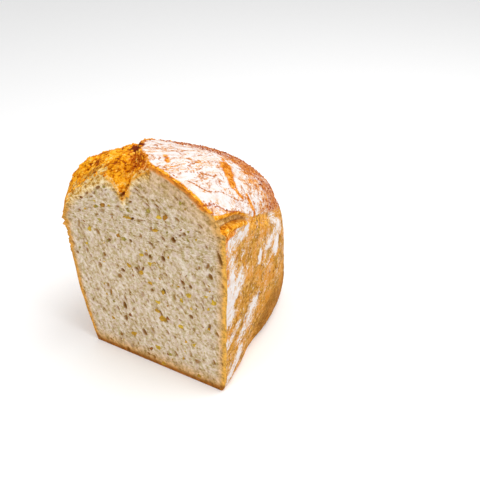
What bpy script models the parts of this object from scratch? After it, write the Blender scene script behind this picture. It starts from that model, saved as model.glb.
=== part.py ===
# Half of a tin loaf, cut across the middle: one solid of crumb and crust.
# The flat cut face looks towards -Y, the rounded end of the loaf towards +Y, the base lies on z = 0.
import bpy
import bmesh
import numpy as np
from mathutils import Vector, noise

mm = 0.001

# Plain form of the loaf, in millimetres, before the splits and tears
baseHalfRight = 45.3        # from the middle line to the right edge of the base
baseHalfLeft = 42.3         # from the middle line to the left edge of the base
wallOutRight = 4.1          # how far the right wall stands out above the rounded foot
footHeight = 18.0           # height of the rounded foot of the right wall
leftHalfTop = 51.9          # the left wall leans out to this half width
leftLeanHeight = 75.0
lengthBase = 104.0          # length of the base, cut face to far end
lengthMost = 109.0          # longest, above the foot
lengthTop = 94.5            # length near the top of the dome
lengthMostHeight = 14.0
planRound = 5.6             # how square the plan is at the base, 2 would be an ellipse
planRoundTop = 3.2          # and at the dome
planTaper = 0.16            # share by which the plan narrows towards the far end
wallBulge = 1.4             # slight belly of the right wall
shoulderRight = 101.1       # where the dome starts on the right, at the cut
shoulderRightEnd = 71.1     # and at the far end
shoulderLeft = 88.8
shoulderLeftEnd = 80.4
crownHeight = 133.4
crownRoundRight = 1.64      # how full the dome is towards the right, the left and the far end
crownRoundLeft = 1.88
crownRoundEnd = 1.61

# Splits and tears, in millimetres
valleyDepth = 3.0           # the torn valley lies this much below the edge of the floured slab
valleyWidth = 11.0
valleyEdgeWidth = 2.4
lipDrop = 6.4               # the torn side falls away towards the cut
lipReach = 11.0
notchDepth = 10.5           # cleft where the torn lobes meet at the cut
notchAcross = -9.8
notchReach = 10.0
tearLength = 29.0           # side tear under the slab's curled rim
tearHalfHeight = 3.3
tearDepth = 6.0
rimCurl = 2.3               # the rim of the slab stands out above the tear
lipCurl = 1.1               # the wall crust stands out below it
jagOut = 2.6                # small torn jag on the left edge of the cut
moundRise = 6.0             # mound of the torn side behind the left lip of the cut
waistDepth = 3.2            # the wall is drawn in beside the base
farBellyOut = 1.6           # and stands out beyond it

# Fineness of the skin: steps across, along and up
stepsAcross = 44
stepsAlong = 34
stepsUp = 36


def smooth(value, low, high):
    t = np.clip((value - low) / (high - low), 0.0, 1.0)
    return t * t * (3.0 - 2.0 * t)


def bell(value, centre, width):
    return np.exp(-((value - centre) / width) ** 2)


# Positions from low to high, closer together around the given places
def spacing(low, high, steps, places):
    fine = np.linspace(low, high, 2001)
    density = np.ones_like(fine)
    for centre, width, extra in places:
        density += extra * bell(fine, centre, width)
    total = np.concatenate([[0.0], np.cumsum(0.5 * (density[1:] + density[:-1]))])
    result = np.interp(np.linspace(0.0, total[-1], steps + 1), total, fine)
    result[0] = low
    result[-1] = high
    return result


# Turn the square plan of the grid into one with rounded far corners
def roundPlan(across, along, up):
    longest = np.maximum(np.abs(across), np.abs(along))
    power = planRound + (planRoundTop - planRound) * up ** 3
    reach = (np.abs(across) ** power + np.abs(along) ** power) ** (1.0 / power)
    reach = np.where(reach < 1e-9, 1.0, reach)
    return across * longest / reach, along * longest / reach


# Height of the dome over the plan; it falls off evenly towards the whole rim
def crown(across, along, ux, uy, up):
    power = planRound + (planRoundTop - planRound) * up ** 3
    side = np.abs(across) ** power
    far = np.abs(along) ** power
    towardsEnd = far / np.maximum(side + far, 1e-9)
    right = 0.5 + 0.5 * np.tanh(4.0 * ux)
    full = (right * crownRoundRight + (1.0 - right) * crownRoundLeft) * (1.0 - towardsEnd)
    full = full + crownRoundEnd * towardsEnd
    outer = np.clip(np.maximum(np.abs(across), np.abs(along)), 0.0, 1.0)
    arch = np.clip(1.0 - outer ** full, 0.0, 1.0) ** (1.0 / full)
    shoulder = right * (shoulderRight + (shoulderRightEnd - shoulderRight) * uy ** 2)
    shoulder = shoulder + (1.0 - right) * (shoulderLeft + (shoulderLeftEnd - shoulderLeft) * uy ** 2)
    return shoulder + (crownHeight - shoulder) * arch


# Plain form: across -1 to 1, along 0 to 1, up 0 to 1 give a point in millimetres
def plainForm(across, along, up):
    ux, uy = roundPlan(across, along, up)
    z = up * crown(across, along, ux, uy, up)
    foot = np.clip(z / footHeight, 0.0, 1.0)
    right = baseHalfRight + wallOutRight * np.sqrt(np.clip(1.0 - (1.0 - foot) ** 2, 0.0, 1.0))
    right = right + 0.5 * np.clip(z / 97.0, 0.0, 1.0)
    lean = np.clip(z / leftLeanHeight, 0.0, 1.0)
    left = baseHalfLeft + (leftHalfTop - baseHalfLeft) * (1.0 - (1.0 - lean) ** 1.95)
    half = np.where(across >= 0.0, right, left) * (1.0 - planTaper * uy)
    belly = wallBulge * np.sin(np.pi * np.clip(uy, 0.0, 1.0)) * np.clip(z / 25.0, 0.0, 1.0)
    half = half + np.where(across >= 0.0, belly, 0.0)
    rise = np.clip(z / lengthMostHeight, 0.0, 1.0)
    length = lengthBase + (lengthMost - lengthBase) * np.sqrt(np.clip(1.0 - (1.0 - rise) ** 2, 0.0, 1.0))
    above = np.clip((z - lengthMostHeight) / (100.0 - lengthMostHeight), 0.0, 1.3)
    length = length - (lengthMost - lengthTop) * above ** 2.46
    return ux * half, uy * length, z


# Line along which the floured slab broke away from the torn valley
def slabLine(y):
    return 8.4 - 23.0 * (1.0 - np.exp(-y / 11.0))


# Height of the slab's lower rim along the right shoulder
def rimLine(y):
    return 114.6 - 0.27 * y - 8.0 * smooth(y, 14.0, 36.0) - 0.22 * np.maximum(y - 36.0, 0.0)


def tearMiddle(y):
    half = tearHalf(y)
    return rimLine(y) - 0.8 - half


def tearHalf(y):
    return 1.3 + (tearHalfHeight - 1.3) * (1.0 - smooth(y, 0.35 * tearLength, tearLength))


# Unit vector that points out of the loaf, level with the cut plane near the cut
def outward(x, y, z):
    dx = x
    dy = y - np.minimum(y, 52.0)
    dz = z - np.minimum(z, 74.0)
    size = np.sqrt(dx * dx + dy * dy + dz * dz) + 1e-9
    return dx / size, dy / size, dz / size


# Amounts by which the splits and tears move the skin
def splits(x, y, z, skin):
    hold = skin ** 4
    torn = 1.0 - smooth(x - slabLine(y), -valleyEdgeWidth, 0.6)
    high = smooth(z, 70.0, 104.0)
    drop = valleyDepth * torn * high * bell(x - slabLine(y), -4.0, valleyWidth)
    outer = smooth(-x, 28.0, 46.0)
    drop = drop + lipDrop * (1.0 + 0.9 * outer) * torn * high * bell(y, 0.0, lipReach * (1.0 - 0.6 * outer))
    cleft = np.where(x < notchAcross, bell(x, notchAcross, 2.6), bell(x, notchAcross, 4.6))
    drop = drop + notchDepth * cleft * bell(y, 0.0, notchReach) * high
    lobes = 1.1 * np.sin((x + 0.9 * y + 4.0) * 0.42) + 0.7 * np.sin((x - 0.5 * y) * 0.55 + 1.0)
    drop = drop - lobes * torn * high * smooth(y, 2.0, 14.0) * smooth(x, -52.0, -40.0)
    z = z - drop * hold

    # side tear with the curled rim above it and the lip of the wall below
    near = smooth(x, 24.0, 40.0) * hold
    half = tearHalf(y)
    away = (z - tearMiddle(y)) / half
    open_ = 1.0 - smooth(y, 0.45 * tearLength, tearLength)
    pull = tearDepth * open_ * np.exp(-away ** 4)
    pull = pull - rimCurl * open_ * bell(away, 1.8, 0.7) * smooth(y, -6.0, 5.0)
    pull = pull - lipCurl * open_ * bell(away, -1.8, 0.7)
    crease = 1.0 * bell(z, rimLine(y) - 2.0, 4.2) * smooth(y, 20.0, 32.0) * (1.0 - smooth(y, 70.0, 95.0))
    pull = pull + crease
    x = x - 0.95 * pull * near
    z = z - 0.25 * pull * near
    return x, y, z


# Waist beside the base, belly beyond it, jag on the left edge, small changes of the dome
def bumps(x, y, z, skin):
    hold = skin ** 4
    rightSide = smooth(x, 10.0, 40.0) * hold
    leftSide = smooth(-x, 20.0, 44.0) * hold
    waist = waistDepth * bell(y, 40.0, 13.0) * bell(z, 9.0, 10.0)
    belly = farBellyOut * bell(y, 68.0, 16.0) * bell(z, 44.0, 26.0)
    x = x + (belly - waist) * rightSide
    jag = jagOut * bell(z, 85.5, 1.8) - 1.0 * bell(z, 90.0, 2.0) + 0.8 * bell(z, 93.0, 1.8)
    x = x - jag * bell(y, 0.0, 8.0) * leftSide
    top = hold * smooth(z, 70.0, 100.0)
    z = z + top * moundRise * bell(x, -47.0, 10.5) * bell(y, 13.0, 12.0)
    z = z + top * 1.6 * bell(x, -15.0, 9.0) * bell(y, 24.0, 12.0)
    x = x - moundRise * 0.6 * bell(z, 100.0, 11.0) * bell(y, 10.0, 14.0) * leftSide
    return x, y, z


# Uneven crust: lumps on the slab, soft swells on the walls, crags in the valley
def crags(x, y, z, skin):
    torn = (1.0 - smooth(x - slabLine(y), -2.0, 0.5)) * smooth(z, 74.0, 100.0) * smooth(x, -52.0, -44.0)
    amount = np.zeros_like(x)
    for index in range(x.size):
        px, py, pz = x[index], y[index], z[index]
        swell = noise.noise(Vector((px / 21.0, py / 21.0, pz / 30.0 + 4.0)))
        lump = noise.noise(Vector((px / 9.0 + 7.0, py / 11.0, pz / 9.0)))
        crag = noise.noise(Vector(((px + 0.8 * py) / 5.5, (py - 0.6 * px) / 13.0, pz / 6.0 + 9.0)))
        value = 0.9 * swell + 0.45 * lump
        amount[index] = value * (1.0 - torn[index]) + torn[index] * (0.7 * lump + 1.6 * crag)
    foot = smooth(z, 1.0, 12.0)
    amount = amount * foot * skin ** 8
    ox, oy, oz = outward(x, y, z)
    return x + ox * amount, y + oy * amount, z + oz * amount


# Skin of a box of grid points, each point named by its three step numbers.
# The cut face is flat, so it is one many-sided face; the flat base is a fan around a middle point.
def boxSkin(countA, countB, countC):
    names = {}
    faces = []

    def number(i, j, k):
        return names.setdefault((i, j, k), len(names))

    for i in range(countA):
        for k in range(countC):
            faces.append([number(i, countB, k), number(i, countB, k + 1), number(i + 1, countB, k + 1),
                          number(i + 1, countB, k)])
    for j in range(countB):
        for k in range(countC):
            faces.append([number(0, j, k), number(0, j, k + 1), number(0, j + 1, k + 1), number(0, j + 1, k)])
            faces.append([number(countA, j, k), number(countA, j + 1, k), number(countA, j + 1, k + 1),
                          number(countA, j, k + 1)])
    for i in range(countA):
        for j in range(countB):
            face = [number(i, j, countC), number(i + 1, j, countC), number(i + 1, j + 1, countC),
                    number(i, j + 1, countC)]
            # at the two rounded far corners the split runs inward from the corner
            if j == countB - 1 and i == countA - 1:
                faces += [[face[0], face[1], face[2]], [face[0], face[2], face[3]]]
            elif j == countB - 1 and i == 0:
                faces += [[face[0], face[1], face[3]], [face[1], face[2], face[3]]]
            else:
                faces.append(face)
    cut = [(i, 0, 0) for i in range(countA)] + [(countA, 0, k) for k in range(countC)]
    cut = cut + [(i, 0, countC) for i in range(countA, 0, -1)] + [(0, 0, k) for k in range(countC, 0, -1)]
    base = [(0, j, 0) for j in range(countB)] + [(i, countB, 0) for i in range(countA)]
    base = base + [(countA, j, 0) for j in range(countB, 0, -1)] + [(i, 0, 0) for i in range(countA, 0, -1)]
    faces.append([number(*corner) for corner in cut])
    middle = number(countA // 2, countB // 2, 0)
    for here, there in zip(base, base[1:] + base[:1]):
        faces.append([number(*here), number(*there), middle])
    return np.array(list(names.keys())), faces


# Where the line of the side tear lies between the middle line, 0, and the right wall, 1
def tearTurn(along):
    y = along * (lengthTop + 8.0)
    shoulder = shoulderRight + (shoulderRightEnd - shoulderRight) * along ** 2
    arch = np.clip((tearMiddle(y) - shoulder) / (crownHeight - shoulder), 0.08, 0.9)
    turn = np.arcsin((1.0 - arch ** crownRoundRight) ** (1.0 / crownRoundRight)) * 2.0 / np.pi
    return turn + (0.82 - turn) * smooth(y, 30.0, 60.0)


def loafPoints(steps):
    turns = spacing(-1.0, 1.0, stepsAcross, [(0.8, 0.13, 1.9), (-0.12, 0.1, 1.2)])
    along = np.sin(0.5 * np.pi * spacing(0.0, 1.0, stepsAlong, [(0.0, 0.2, 1.9)]))
    up = spacing(0.0, 1.0, stepsUp, [(0.0, 0.1, 1.0), (1.0, 0.12, 0.8)])
    b = along[steps[:, 1]]
    c = up[steps[:, 2]]
    turn = turns[steps[:, 0]]
    seam = tearTurn(b)
    above = 0.35 + (turn - 0.35) * (seam - 0.35) / 0.45
    below = seam + (turn - 0.8) * (1.0 - seam) / 0.2
    turn = np.where(turn < 0.35, turn, np.where(turn < 0.8, above, below))
    a = np.sin(0.5 * np.pi * turn)
    skin = np.maximum(np.maximum(np.abs(a), b), c)
    x, y, z = plainForm(a, b, c)
    x, y, z = bumps(x, y, z, skin)
    x, y, z = splits(x, y, z, skin)
    x, y, z = crags(x, y, z, skin)
    y = np.where(steps[:, 1] == 0, 0.0, y)
    z = np.where(steps[:, 2] == 0, 0.0, z)
    points = np.stack([x, y, z], axis=1)
    middle = 0.5 * (points.max(axis=0) + points.min(axis=0))
    points[:, 0] -= middle[0]
    points[:, 1] -= middle[1]
    return points * mm


def crustMaterial():
    material = bpy.data.materials.new("baked_crust")
    material.use_nodes = True
    shader = material.node_tree.nodes["Principled BSDF"]
    shader.inputs["Base Color"].default_value = (0.55, 0.34, 0.14, 1.0)
    shader.inputs["Roughness"].default_value = 0.85
    return material


def buildLoaf():
    steps, faces = boxSkin(stepsAcross, stepsAlong, stepsUp)
    points = loafPoints(steps)
    shape = bmesh.new()
    corners = [shape.verts.new(point) for point in points]
    for face in faces:
        shape.faces.new([corners[number] for number in face])
    bmesh.ops.recalc_face_normals(shape, faces=shape.faces)
    bmesh.ops.triangulate(shape, faces=shape.faces, quad_method="SHORT_EDGE", ngon_method="BEAUTY")
    mesh = bpy.data.meshes.new("loaf")
    shape.to_mesh(mesh)
    shape.free()
    loaf = bpy.data.objects.new("loaf", mesh)
    loaf.data.materials.append(crustMaterial())
    bpy.context.scene.collection.objects.link(loaf)
    return loaf


for old in list(bpy.data.objects):
    bpy.data.objects.remove(old, do_unlink=True)
buildLoaf()
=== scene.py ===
import math
import bpy
import numpy as np
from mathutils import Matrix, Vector, geometry, noise


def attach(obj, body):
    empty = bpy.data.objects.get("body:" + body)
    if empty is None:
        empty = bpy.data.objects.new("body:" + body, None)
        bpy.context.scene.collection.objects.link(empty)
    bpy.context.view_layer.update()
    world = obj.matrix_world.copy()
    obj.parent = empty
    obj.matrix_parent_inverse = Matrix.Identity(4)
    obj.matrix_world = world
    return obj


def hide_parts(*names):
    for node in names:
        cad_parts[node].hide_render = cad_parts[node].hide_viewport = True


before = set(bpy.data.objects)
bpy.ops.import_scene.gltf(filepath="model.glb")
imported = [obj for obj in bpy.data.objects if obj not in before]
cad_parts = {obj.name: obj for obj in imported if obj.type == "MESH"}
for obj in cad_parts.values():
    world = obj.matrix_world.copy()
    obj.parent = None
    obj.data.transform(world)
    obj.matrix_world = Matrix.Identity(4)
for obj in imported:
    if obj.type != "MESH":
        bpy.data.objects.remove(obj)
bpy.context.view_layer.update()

# Half of a tin loaf, cut across the middle. The flat cut face looks towards -Y, the base lies on z = 0.
# All shape values are in millimetres, measured from the middle of the cut at the base.
mm = 0.001
loafShape = {
    "baseHalfRight": 45.3,        # from the middle line to the right edge of the base
    "baseHalfLeft": 42.3,
    "wallOutRight": 4.1,          # how far the right wall stands out above the rounded foot
    "footHeight": 18.0,
    "leftHalfTop": 51.9,          # the left wall leans out to this half width
    "leftLeanHeight": 75.0,
    "leftLeanPower": 1.95,
    "wallLeanRight": 0.5,         # the right wall leans out this little
    "wallLeanHeight": 97.0,
    "lengthBase": 104.0,
    "lengthMost": 109.0,
    "lengthTop": 94.5,
    "lengthMostHeight": 14.0,
    "lengthTopHeight": 100.0,
    "lengthTopPower": 2.46,
    "planRound": 5.6,             # how square the plan is at the base, and at the dome
    "planRoundTop": 3.2,
    "planTaper": 0.16,
    "wallBulge": 1.4,
    "wallBulgeHeight": 25.0,
    "shoulderRight": 101.1,       # where the dome starts, at the cut and at the far end
    "shoulderRightEnd": 71.1,
    "shoulderLeft": 88.8,
    "shoulderLeftEnd": 80.4,
    "crownHeight": 133.4,
    "crownRoundRight": 1.64,
    "crownRoundLeft": 1.88,
    "crownRoundEnd": 1.61,
    "slabStart": 8.4,             # broken edge of the slab: across at the cut, how far it runs left, how soon
    "slabReach": 23.0,
    "slabCurve": 11.0,
    "rimStart": 114.6,            # height of the slab's lower rim at the cut, and how it falls off
    "rimSlope": 0.27,
    "rimStep": 8.0,
    "valleyDepth": 3.0,           # the torn valley beside the floured slab
    "valleyWidth": 11.0,
    "valleyEdgeWidth": 2.4,
    "lipDrop": 6.4,
    "lipReach": 11.0,
    "notchDepth": 8.5,            # cleft where the torn lobes meet at the cut
    "notchAcross": -9.8,
    "notchReach": 10.0,
    "notchWidths": (2.6, 4.6),     # on its left and on its right
    "tearLength": 29.0,           # side tear under the slab's curled rim
    "tearHalfHeight": 0.9,
    "tearDepth": 1.9,
    "rimHeight": 2.3,             # rolled rim between the tear and the slab's flour
    "rimCurl": 1.5,
    "lipCurl": 1.2,
    "lipRoll": 5.0,               # how far the torn lip at the cut rolls back
    "jags": [(2.6, 85.5, 1.8), (-1.5, 89.5, 2.0), (1.2, 94.0, 3.0)],    # how far out, height, width
    "jagTeeth": 0.7,
    "moundRise": 6.0,             # mound of the torn side next to the cut
    "waistDepth": 3.2,            # waist low in the right wall, and the belly beyond it
    "farBellyOut": 1.6,
    "swellRise": 0.9,             # unevenness of the crust, and of the torn side
    "lumpRise": 0.45,
    "cragRise": 0.5,
    "placeX": 2.123,              # from the middle of the cut to the middle of the loaf's box
    "placeY": -54.798,
}
tearWay = (0.80, 0.10, 0.59)    # direction in which the torn top was drawn out
skinFineness = {"across": 132, "along": 122, "up": 104, "cutLattice": 0.6}


def smooth(value, low, high):
    t = unit((value - low) / (high - low))
    return t * t * (3.0 - 2.0 * t)


def fade(value, low, high):
    return 1.0 - smooth(value, low, high)


def bell(value, centre, width):
    return np.exp(-((value - centre) / width) ** 2)


def unit(value):
    return np.clip(value, 0.0, 1.0)


def between(low, high, share):
    return low + (high - low) * share


# Positions from low to high, closer together around the given places
def spacing(low, high, steps, places):
    fine = np.linspace(low, high, 2001)
    density = np.ones_like(fine)
    for centre, width, extra in places:
        density += extra * bell(fine, centre, width)
    total = np.concatenate([[0.0], np.cumsum(0.5 * (density[1:] + density[:-1]))])
    result = np.interp(np.linspace(0.0, total[-1], steps + 1), total, fine)
    result[0] = low
    result[-1] = high
    return result


def planPower(up):
    return between(loafShape["planRound"], loafShape["planRoundTop"], up ** 3)


# Turn the square plan of the grid into one with rounded far corners
def roundPlan(across, along, up):
    longest = np.maximum(np.abs(across), np.abs(along))
    power = planPower(up)
    reach = (np.abs(across) ** power + np.abs(along) ** power) ** (1.0 / power)
    reach = np.where(reach < 1e-9, 1.0, reach)
    return across * longest / reach, along * longest / reach


# Height of the dome over the plan; it falls off evenly towards the whole rim
def crown(across, along, ux, uy, up):
    s = loafShape
    power = planPower(up)
    side = np.abs(across) ** power
    far = np.abs(along) ** power
    towardsEnd = far / np.maximum(side + far, 1e-9)
    right = 0.5 + 0.5 * np.tanh(4.0 * ux)
    full = (right * s["crownRoundRight"] + (1.0 - right) * s["crownRoundLeft"]) * (1.0 - towardsEnd)
    full = full + s["crownRoundEnd"] * towardsEnd
    outer = unit(np.maximum(np.abs(across), np.abs(along)))
    arch = unit(1.0 - outer ** full) ** (1.0 / full)
    shoulder = right * between(s["shoulderRight"], s["shoulderRightEnd"], uy ** 2)
    shoulder = shoulder + (1.0 - right) * between(s["shoulderLeft"], s["shoulderLeftEnd"], uy ** 2)
    return between(shoulder, s["crownHeight"], arch)


def quarterRound(rise):
    return np.sqrt(unit(1.0 - (1.0 - unit(rise)) ** 2))


# Plain form: across -1 to 1, along 0 to 1, up 0 to 1 give a point
def plainForm(across, along, up):
    s = loafShape
    ux, uy = roundPlan(across, along, up)
    z = up * crown(across, along, ux, uy, up)
    right = s["baseHalfRight"] + s["wallOutRight"] * quarterRound(z / s["footHeight"])
    right = right + s["wallLeanRight"] * unit(z / s["wallLeanHeight"])
    lean = 1.0 - (1.0 - unit(z / s["leftLeanHeight"])) ** s["leftLeanPower"]
    left = between(s["baseHalfLeft"], s["leftHalfTop"], lean)
    half = np.where(across >= 0.0, right, left) * (1.0 - s["planTaper"] * uy)
    belly = s["wallBulge"] * np.sin(np.pi * unit(uy)) * unit(z / s["wallBulgeHeight"])
    half = half + np.where(across >= 0.0, belly, 0.0)
    length = between(s["lengthBase"], s["lengthMost"], quarterRound(z / s["lengthMostHeight"]))
    above = (z - s["lengthMostHeight"]) / (s["lengthTopHeight"] - s["lengthMostHeight"])
    length = length - (s["lengthMost"] - s["lengthTop"]) * np.clip(above, 0.0, 1.3) ** s["lengthTopPower"]
    return ux * half, uy * length, z


# Line along which the floured slab broke away from the torn valley
def slabLine(y):
    return loafShape["slabStart"] - loafShape["slabReach"] * (1.0 - np.exp(-y / loafShape["slabCurve"]))


# Height of the slab's lower rim along the right shoulder
def rimLine(y):
    straight = loafShape["rimStart"] - loafShape["rimSlope"] * y
    return straight - loafShape["rimStep"] * smooth(y, 14.0, 36.0) - 0.22 * np.maximum(y - 36.0, 0.0)


# Half the height of the side tear's gap, and the height of its middle
def tearHalf(y):
    length = loafShape["tearLength"]
    least = loafShape["tearHalfHeight"]
    return least + 0.9 * fade(y, 0.45 * length, 0.95 * length) + 1.5 * np.exp(-np.maximum(y, 0.0) / 3.0)


def tearMiddle(y):
    return rimLine(y) - loafShape["rimHeight"] - tearHalf(y)


# Millimetres above the tear's upper edge and below its lower edge
def besideTear(y, z):
    return z - tearMiddle(y) - tearHalf(y), tearMiddle(y) - tearHalf(y) - z


# Unit vector that points out of the loaf, level with the cut plane near the cut
def outward(x, y, z):
    dx = x
    dy = y - np.minimum(y, 52.0)
    dz = z - np.minimum(z, 74.0)
    size = np.sqrt(dx * dx + dy * dy + dz * dz) + 1e-9
    return dx / size, dy / size, dz / size


# Splits and tears of the skin: torn valley, lip and cleft at the cut, side tear
def splits(x, y, z, skin):
    s = loafShape
    hold = skin ** 4
    torn = fade(x - slabLine(y), -s["valleyEdgeWidth"], 0.6)
    high = smooth(z, 70.0, 104.0)
    drop = s["valleyDepth"] * torn * high * bell(x - slabLine(y), -4.0, s["valleyWidth"])
    outer = smooth(-x, 28.0, 46.0)
    beside = 1.0 - 0.8 * smooth(x, -4.0, 3.0)
    lip = bell(y, 0.0, s["lipReach"] * (1.0 - 0.6 * outer))
    drop = drop + s["lipDrop"] * beside * (1.0 + 0.9 * outer) * torn * high * lip
    leftFlank, rightFlank = [bell(x, s["notchAcross"], width) for width in s["notchWidths"]]
    cleft = np.where(x < s["notchAcross"], leftFlank, rightFlank)
    drop = drop + s["notchDepth"] * cleft * bell(y, 0.0, s["notchReach"]) * high
    lobes = 0.3 * np.sin((x + 0.9 * y + 4.0) * 0.42) + 0.2 * np.sin((x - 0.5 * y) * 0.55 + 1.0)
    drop = drop - lobes * torn * high * smooth(y, 2.0, 14.0) * smooth(x, -52.0, -40.0)
    z = z - drop * hold

    # side tear with the curled rim above it and the lip of the wall below
    near = smooth(x, 24.0, 40.0) * hold
    over, below = besideTear(y, z)
    opened = fade(y, 0.6 * s["tearLength"], s["tearLength"])
    inside = smooth(-np.maximum(over, below), -0.3, 1.0) * (0.45 + 0.55 * smooth(y, 0.0, 3.0))
    pull = opened * (s["tearDepth"] * inside + 0.9 * bell(below, -0.5, 0.6))
    pull = pull - s["rimCurl"] * opened * bell(over, 1.8, 1.7) * smooth(y, -6.0, 5.0)
    pull = pull - s["lipCurl"] * opened * bell(below, 1.3, 1.4)
    crease = bell(z, rimLine(y) - 2.0, 4.2) * smooth(y, 20.0, 32.0) * fade(y, 70.0, 95.0)
    pull = (pull + crease) * near
    return x - 0.95 * pull, y, z - 0.25 * pull


# Waist beside the base, belly beyond it, jags on the left edge, mounds of the dome
def bumps(x, y, z, skin):
    s = loafShape
    hold = skin ** 4
    rightSide = smooth(x, 10.0, 40.0) * hold
    leftSide = smooth(-x, 20.0, 44.0) * hold
    waist = s["waistDepth"] * bell(y, 40.0, 13.0) * bell(z, 9.0, 10.0)
    belly = s["farBellyOut"] * bell(y, 68.0, 16.0) * bell(z, 44.0, 26.0)
    x = x + (belly - waist) * rightSide
    jag = s["jagTeeth"] * np.sin(1.7 * z) * np.sin(0.61 * z + 1.0) * smooth(z, 54.0, 70.0)
    for out, height, width in s["jags"]:
        jag = jag + out * bell(z, height, width)
    x = x - jag * bell(y, 0.0, 8.0) * leftSide
    top = hold * smooth(z, 70.0, 100.0)
    z = z + top * s["moundRise"] * bell(x, -47.0, 10.5) * bell(y, 13.0, 12.0)
    z = z + top * 1.6 * bell(x, -15.0, 9.0) * bell(y, 24.0, 12.0)
    x = x - s["moundRise"] * 0.6 * bell(z, 100.0, 11.0) * bell(y, 10.0, 14.0) * leftSide
    return x, y, z


# Share of a place that belongs to the torn golden side of the top
def tornShare(x, y, z):
    return fade(x - slabLine(y), -2.0, 0.5) * smooth(z, 74.0, 100.0) * smooth(x, -52.0, -44.0)


# Uneven crust: lumps on the slab, soft swells on the walls, crags in the valley
def crags(x, y, z, skin):
    s = loafShape
    torn = tornShare(x, y, z)
    amount = np.zeros_like(x)
    for index in range(x.size):
        px, py, pz = x[index], y[index], z[index]
        swell = noise.noise(Vector((px / 21.0, py / 21.0, pz / 30.0 + 4.0)))
        lump = noise.noise(Vector((px / 9.0 + 7.0, py / 11.0, pz / 9.0)))
        crag = noise.noise(Vector(((px + 0.8 * py) / 5.5, (py - 0.6 * px) / 13.0, pz / 6.0 + 9.0)))
        value = s["swellRise"] * swell + s["lumpRise"] * lump
        rough = s["cragRise"] * lump + s["cragRise"] * crag
        amount[index] = value * (1.0 - torn[index]) + torn[index] * rough
    amount = amount * smooth(z, 1.0, 12.0) * skin ** 8
    ox, oy, oz = outward(x, y, z)
    return x + ox * amount, y + oy * amount, z + oz * amount


# Where the line of the side tear lies between the middle line, 0, and the right wall, 1
def tearTurn(along):
    s = loafShape
    y = along * (s["lengthTop"] + 8.0)
    shoulder = between(s["shoulderRight"], s["shoulderRightEnd"], along ** 2)
    arch = np.clip((tearMiddle(y) - shoulder) / (s["crownHeight"] - shoulder), 0.08, 0.9)
    power = s["crownRoundRight"]
    turn = np.arcsin((1.0 - arch ** power) ** (1.0 / power)) * 2.0 / np.pi
    return between(turn, 0.82, smooth(y, 30.0, 60.0))


# Crust of the loaf without the cut face: grid points named by their steps, and the faces between them
def crustGrid(countA, countB, countC):
    names = {}
    faces = []

    def number(i, j, k):
        return names.setdefault((i, j, k), len(names))

    def quad(*corners):
        faces.append([number(*corner) for corner in corners])

    for i in range(countA):
        for k in range(countC):
            quad((i, countB, k), (i, countB, k + 1), (i + 1, countB, k + 1), (i + 1, countB, k))
    for j in range(countB):
        for k in range(countC):
            quad((0, j, k), (0, j, k + 1), (0, j + 1, k + 1), (0, j + 1, k))
            quad((countA, j, k), (countA, j + 1, k), (countA, j + 1, k + 1), (countA, j, k + 1))
    for i in range(countA):
        for j in range(countB):
            quad((i, j, countC), (i + 1, j, countC), (i + 1, j + 1, countC), (i, j + 1, countC))
    cut = [(i, 0, 0) for i in range(countA)] + [(countA, 0, k) for k in range(countC)]
    cut = cut + [(i, 0, countC) for i in range(countA, 0, -1)] + [(0, 0, k) for k in range(countC, 0, -1)]
    base = [(0, j, 0) for j in range(countB)] + [(i, countB, 0) for i in range(countA)]
    base = base + [(countA, j, 0) for j in range(countB, 0, -1)] + [(i, 0, 0) for i in range(countA, 0, -1)]
    cutLoop = [number(*corner) for corner in cut]
    baseLoop = [number(*corner) for corner in base]
    return np.array(list(names.keys())), faces, cutLoop, baseLoop


# Places of the crust points on the loaf, in millimetres
def crustPlaces(steps):
    turns = spacing(-1.0, 1.0, skinFineness["across"], [(0.8, 0.13, 1.2), (-0.12, 0.1, 0.8)])
    along = np.sin(0.5 * np.pi * spacing(0.0, 1.0, skinFineness["along"], [(0.0, 0.2, 0.9)]))
    up = spacing(0.0, 1.0, skinFineness["up"], [(0.0, 0.1, 0.6), (1.0, 0.12, 0.6)])
    b = along[steps[:, 1]]
    c = up[steps[:, 2]]
    turn = turns[steps[:, 0]]
    seam = tearTurn(b)
    above = 0.35 + (turn - 0.35) * (seam - 0.35) / 0.45
    below = seam + (turn - 0.8) * (1.0 - seam) / 0.2
    turn = np.where(turn < 0.35, turn, np.where(turn < 0.8, above, below))
    a = np.sin(0.5 * np.pi * turn)
    skin = np.maximum(np.maximum(np.abs(a), b), c)
    x, y, z = plainForm(a, b, c)
    x, y, z = bumps(x, y, z, skin)
    x, y, z = splits(x, y, z, skin)
    x, y, z = crags(x, y, z, skin)
    y = np.where(steps[:, 1] == 0, 0.0, y)
    z = np.where(steps[:, 2] == 0, 0.0, z)
    return np.stack([x, y, z], axis=1)


# Distance from points, flat or not, to a line through some places
def lineDistance(points, line):
    nearest = np.full(len(points), 1e9)
    for start, end in zip(np.array(line[:-1]), np.array(line[1:])):
        run = end - start
        share = unit(((points - start) @ run) / max(float(run @ run), 1e-12))
        nearest = np.minimum(nearest, np.linalg.norm(points - start - share[:, None] * run, axis=1))
    return nearest


def outlineDistance(flat, outline):
    return lineDistance(flat, np.concatenate([outline, outline[:1]]))


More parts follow.
